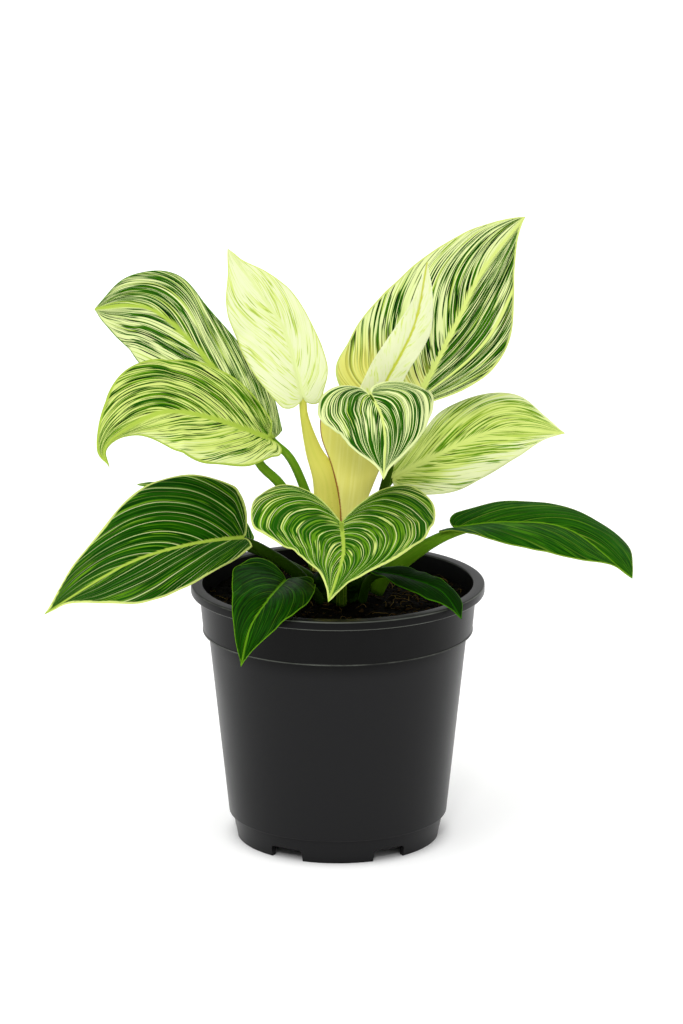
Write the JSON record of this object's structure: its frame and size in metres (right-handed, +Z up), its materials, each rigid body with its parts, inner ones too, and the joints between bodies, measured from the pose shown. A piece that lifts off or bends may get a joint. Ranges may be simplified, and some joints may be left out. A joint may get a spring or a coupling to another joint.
{
  "type": "potted philodendron birkin",
  "caption": "Young aroid house plant with broad striped leaves on a short crown, growing in a tapered plastic nursery pot with a collared rim and notched feet.",
  "frame": {"origin": "on the pot's axis, at the height of the surface that the pot's feet stand on", "axes": "+Z up along the pot's axis, +X to the picture's right, -Y towards the picture's viewer"},
  "size_m": [0.3171, 0.2015, 0.3271],
  "materials": {
    "pot_plastic": "moulded matte charcoal-black plastic",
    "potting_mix": "dark damp potting mix with tan fibres",
    "green_stem": "satin green stem",
    "yellow_sheath": "thin yellow sheath with reddish-brown edges",
    "striped_leaf": "satin leaf, lime and cream streaks on dark green",
    "cream_leaf": "satin leaf, cream with faint lime veins",
    "pale_leaf": "satin leaf, pale lime with soft green streaks",
    "dark_leaf": "glossy dark green leaf with fine pale veins"
  },
  "bodies": {
    "root": {"pot": "pot_plastic", "soil": "potting_mix", "stem": "green_stem", "sheath": "yellow_sheath", "leaf_upper_left": "striped_leaf", "leaf_left_arched": "striped_leaf", "leaf_cream_left": "cream_leaf", "leaf_large_right": "striped_leaf", "leaf_new_narrow": "cream_leaf", "leaf_heart_upper": "striped_leaf", "leaf_heart_front": "dark_leaf", "leaf_right_middle": "pale_leaf", "leaf_left_lower": "dark_leaf", "leaf_back_left": "dark_leaf", "leaf_right_lower": "dark_leaf", "leaf_rim_left": "dark_leaf", "leaf_rim_right": "dark_leaf"}
  },
  "joints": []
}
